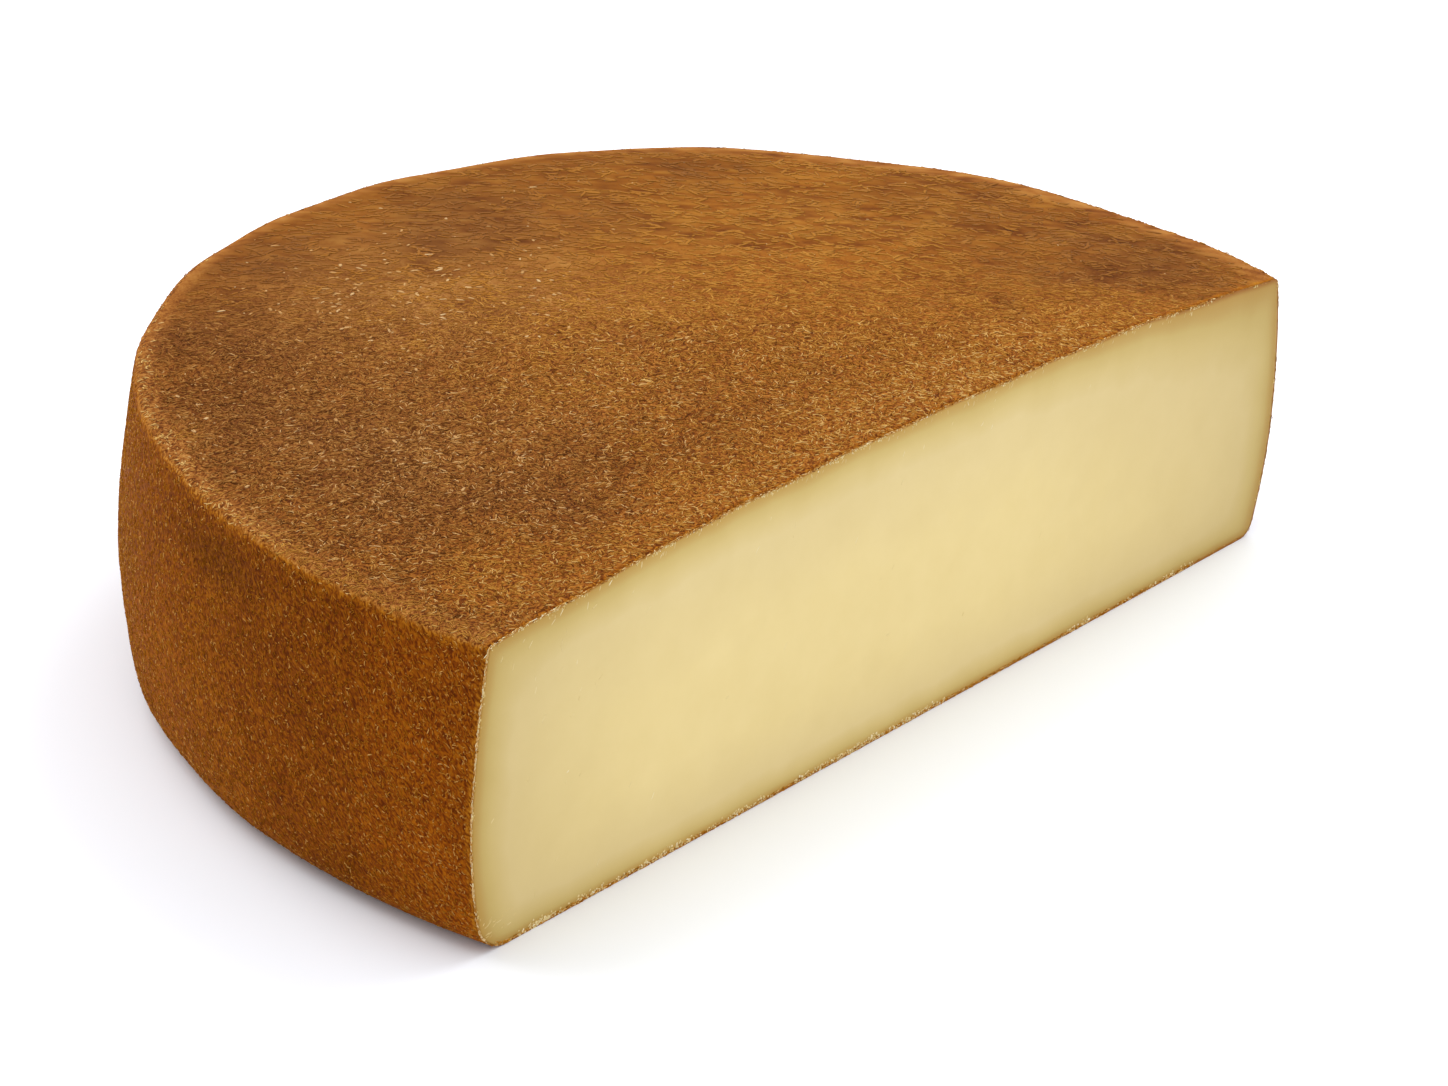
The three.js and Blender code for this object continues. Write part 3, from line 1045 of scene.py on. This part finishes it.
def add_cut_marks(cut_edges):
    """What the knife left on the cut face: crumbs by its edges, a dry line, and scrapes."""
    finish = toned(
        "dried_paste",
        0.5,
        [(0.0, "#a88645"), (0.4, "#cdb273"), (0.75, "#dfcb95"), (1.0, "#f2e7c8")],
    )
    x, _, height = cut_edges.mean(axis=1).T
    left_end = (x < -120) * (height > 3)
    right_end = (x > 120) * (height > 3)
    low = (height < 1.0) * (np.abs(x) < 146) * np.where(x > 20, 0.25, 1.0)
    high = (height > RIM_HEIGHT - 3) * np.where(np.abs(x + 30) < 45, 1.0, 0.6) * (x < 120)
    lots = []
    # Crumbs lie in little heaps: which edge, heaps, crumbs in each, their spread along and in, size
    # and tone.
    heaps = (
        (low, 72, 10, 1.8, 0.7, 0.56, 0.66),
        (left_end, 14, 5, 1.0, 0.5, 0.5, 0.4),
        (right_end, 5, 4, 1.0, 0.5, 0.5, 0.35),
        (high, 90, 5, 0.9, 0.4, 0.4, 0.6),
    )
    for where, heap_count, crumb_count, spread, reach, size, tone in heaps:
        points, ahead, out = (
            np.repeat(found, crumb_count, axis=0) for found in along_edges(cut_edges, where, heap_count)
        )
        count = len(points)
        inwards = 0.25 + np.abs(draw.normal(0, reach, count))
        points = points + ahead * draw.normal(0, spread, count)[:, None] - out * inwards[:, None]
        points[:, 1] = -CUT_FROM_AXIS
        outward = np.broadcast_to(FACE_OUT, points.shape)
        lots.append(crumbled(points, outward, size, draw.normal(tone, 0.14, count)))

    # The dry pale line that stands just inside the rind at the near end.
    count = 330
    points, ahead, out = along_edges(cut_edges, left_end, count)
    points = points - out * draw.uniform(0.05, 0.4, count)[:, None]
    points[:, 1] = -CUT_FROM_AXIS - 0.02
    size = random_size(count, (0.8, 2.2), (0.2, 0.34), (0.12, 0.2))
    tone = draw.normal(0.8, 0.12, count)
    lots.append(copies(CURLED, points, FACE_OUT, ahead, size, 0.0, 0.0, tone))

    # Scrapes lean the way the knife was drawn and are commonest near the ends and the top.
    count = 70
    x = np.where(draw.random(count) < 0.5, draw.uniform(-150, -95, count), draw.uniform(-150, 90, count))
    z = np.where(draw.random(count) < 0.5, draw.uniform(64, 79, count), draw.uniform(3, 78, count))
    inside = z < cut_top(x) - 1.5
    lots.append(slivers(x[inside], z[inside], 60, (0.7, 2.4), (0.3, 0.55), 0.72))
    # Short ones hang from the top's edge.
    x = draw.uniform(-140, 110, 90)
    z = cut_top(x) - draw.uniform(0.4, 2.2, 90)
    lots.append(slivers(x, z, 65, (0.6, 1.6), (0.2, 0.4), 0.7))
    # A few longer ones cross low down at the near end, where the knife came out.
    x = draw.uniform(-146, -136, 18)
    lots.append(slivers(x, draw.uniform(4, 9, 18), 30, (0.7, 2.0), (0.24, 0.5), 0.5))
    add_piece("paste_crumbs", joined("paste_crumbs", *lots), [finish])


# ---- stage


FLOOR_SIZE = 6.0  # m
WORLD_STRENGTH = 0.96
LIGHT_SIZE = 1.2  # m across
LIGHT_AIM = Vector((0, 0, 0.04))
# Name, place in m, power in W and colour.
LIGHTS = (
    ("behind", (-0.3, 0.8, 1.2), 10.8, (1, 1, 1)),
    ("right", (0.9, -0.1, 1.1), 11.2, (0.9, 0.96, 1.0)),
)


def add_floor():
    bm = bmesh.new()
    bmesh.ops.create_grid(bm, x_segments=1, y_segments=1, size=FLOOR_SIZE)
    mesh = bpy.data.meshes.new("floor")
    bm.to_mesh(mesh)
    bm.free()
    material, tree = new_material("white_paper")
    paper = {"Base Color": linear("#f0f2f7"), "Roughness": 1.0, "Specular IOR Level": 0.0}
    add_node(tree, "OutputMaterial", {"Surface": add_node(tree, "BsdfPrincipled", paper)})
    mesh.materials.append(material)
    floor = add_object("floor", mesh)


def add_lights():
    world = bpy.data.worlds.new("studio")
    bpy.context.scene.world = world
    world.use_nodes = True
    background = world.node_tree.nodes["Background"].inputs
    background["Color"].default_value = (1, 1, 1, 1)
    background["Strength"].default_value = WORLD_STRENGTH
    for name, place, power, colour in LIGHTS:
        lamp = bpy.data.lights.new(name, "AREA")
        lamp.color = colour
        lamp.shape = "DISK"
        lamp.size = LIGHT_SIZE
        lamp.energy = power
        light = add_object(name, lamp)
        light.location = place
        light.rotation_euler = (LIGHT_AIM - Vector(place)).to_track_quat("-Z", "Y").to_euler()


# The camera: where it looks from, and how it is turned.
CAMERA_AZIMUTH = math.radians(-51.85)
CAMERA_ELEVATION = math.radians(26.11)
CAMERA_ROLL = math.radians(3.13)
CAMERA_DISTANCE = 1302.9  # mm from the point it looks at
CAMERA_AIM = (46.9, 60.0, 0.03)  # mm about the wheel's axis
SENSOR_WIDTH = 36.0
FRAME_WIDTH = 1448
FOCAL_LENGTH = 5168.5 / FRAME_WIDTH * SENSOR_WIDTH


def add_camera():
    sine, cosine = math.sin(CAMERA_AZIMUTH), math.cos(CAMERA_AZIMUTH)
    plan = math.cos(CAMERA_ELEVATION)
    back = Vector((sine * plan, -cosine * plan, math.sin(CAMERA_ELEVATION)))
    level = Vector((cosine, sine, 0))
    upright = back.cross(level)
    right = level * math.cos(CAMERA_ROLL) + upright * math.sin(CAMERA_ROLL)
    up = upright * math.cos(CAMERA_ROLL) - level * math.sin(CAMERA_ROLL)
    aim = Vector(to_frame([CAMERA_AIM])[0])
    lens = bpy.data.cameras.new("camera")
    lens.sensor_width = SENSOR_WIDTH
    lens.lens = FOCAL_LENGTH
    lens.clip_end = 50
    camera = add_object("camera", lens)
    turned = Matrix((right, up, back)).transposed().to_4x4()
    camera.matrix_world = Matrix.Translation(aim + back * CAMERA_DISTANCE * MM) @ turned
    bpy.context.scene.camera = camera


add_camera()
add_lights()
add_floor()
add_cheese()
bpy.context.scene.view_settings.view_transform = "Standard"
